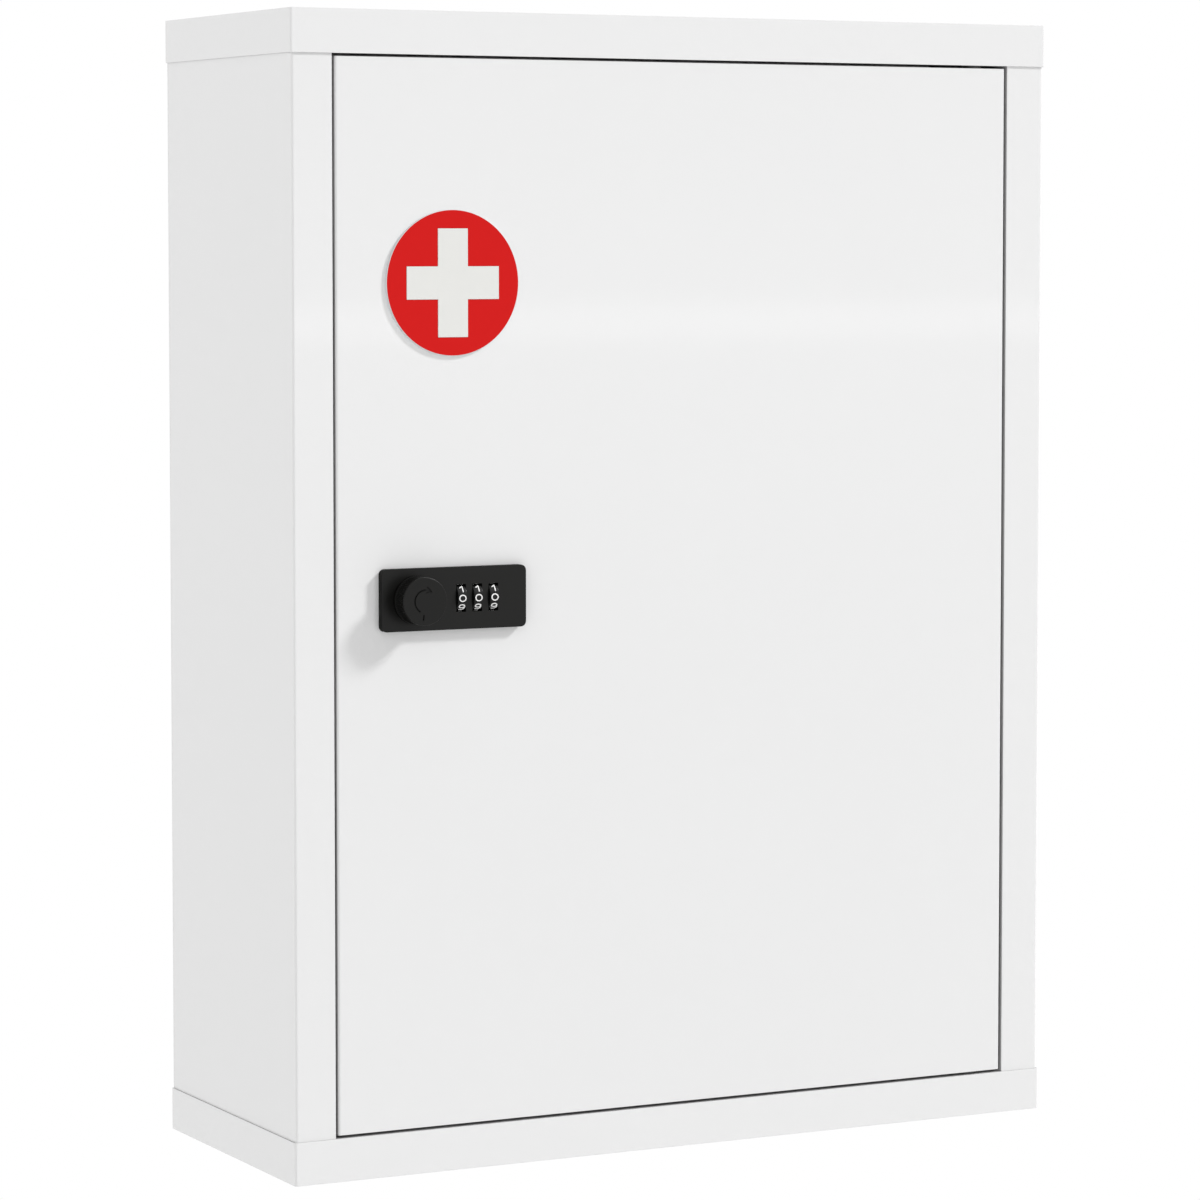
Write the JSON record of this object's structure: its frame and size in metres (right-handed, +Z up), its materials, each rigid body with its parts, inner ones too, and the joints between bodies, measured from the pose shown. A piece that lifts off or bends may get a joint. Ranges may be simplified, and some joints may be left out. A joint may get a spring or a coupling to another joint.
{
  "type": "lockable medicine cabinet",
  "caption": "Wall-hung steel medicine cabinet with a hidden-pivot door, shelves, a round first-aid sign and a combination dial lock whose knob turns a tongue.",
  "frame": {"origin": "middle of the four wall holes, on the plane of the wall behind the cabinet", "axes": "+X to the right of a person who faces the door, +Y into the wall, +Z up"},
  "size_m": [0.3, 0.1222, 0.4],
  "materials": {
    "white_steel": "white powder coat, satin",
    "plated_steel": "bright zinc plate",
    "buffer_rubber": "dull black rubber",
    "bush_plastic": "black acetal",
    "sign_red": "smooth red print",
    "sign_white": "smooth off-white",
    "lock_black": "satin black",
    "dial_black": "smooth black with white digits"
  },
  "bodies": {
    "cabinet": {"top_cap": "white_steel", "bottom_cap": "white_steel", "left_side": "white_steel", "right_side": "white_steel", "back_panel": "white_steel", "upper_shelf": "white_steel", "lower_shelf": "white_steel", "shelf_ledges": "white_steel", "upper_hinge_plate": "plated_steel", "lower_hinge_plate": "plated_steel", "hinge_rivets": "plated_steel", "upper_pivot_pin": "plated_steel", "lower_pivot_pin": "plated_steel", "door_buffers": "buffer_rubber"},
    "door": {"door_pan": "white_steel", "door_stiffener": "white_steel", "upper_pivot_bush": "bush_plastic", "lower_pivot_bush": "bush_plastic", "sign_disc": "sign_red", "sign_cross": "sign_white", "lock_housing": "lock_black", "lock_clamp_plate": "plated_steel", "lock_clamp_screws": "plated_steel", "lock_rear_cover": "lock_black", "rear_cover_screws": "plated_steel", "dial_axle": "plated_steel", "dial_detent_spring": "plated_steel", "locking_bar_spring": "plated_steel"},
    "knob_set": {"lock_knob": "lock_black", "knob_spindle": "plated_steel", "lock_tongue": "plated_steel", "tongue_washer": "plated_steel", "tongue_screw": "plated_steel"},
    "bar": {"locking_bar": "plated_steel"},
    "dial_left": {"dial_wheel_left": "dial_black"},
    "dial_middle": {"dial_wheel_middle": "dial_black"},
    "dial_right": {"dial_wheel_right": "dial_black"}
  },
  "joints": [
    {"name": "door_hinge", "type": "hinge", "parent": "cabinet", "child": "door", "pos_m": [0.1212, -0.1074, 0], "axis": [0, 0, 1], "range_deg": [0, 110]},
    {"name": "knob_turn", "type": "hinge", "parent": "door", "child": "knob_set", "pos_m": [-0.1053, -0.1142, -0.0008], "axis": [0, 1, 0], "range_deg": [0, 90]},
    {"name": "bar_slide", "type": "slide", "parent": "door", "child": "bar", "axis": [1, 0, 0], "range_m": [0, 0.0009]},
    {"name": "dial_left_turn", "type": "hinge", "parent": "door", "child": "dial_left", "pos_m": [-0.088, -0.1102, -0.0008], "axis": [1, 0, 0], "continuous": true},
    {"name": "dial_middle_turn", "type": "hinge", "parent": "door", "child": "dial_middle", "pos_m": [-0.08185, -0.1102, -0.0008], "axis": [1, 0, 0], "continuous": true},
    {"name": "dial_right_turn", "type": "hinge", "parent": "door", "child": "dial_right", "pos_m": [-0.0757, -0.1102, -0.0008], "axis": [1, 0, 0], "continuous": true}
  ],
  "couplings": [
    {"joint": "bar_slide", "follows": "knob_turn", "m_per_rad": 0.00057296}
  ]
}
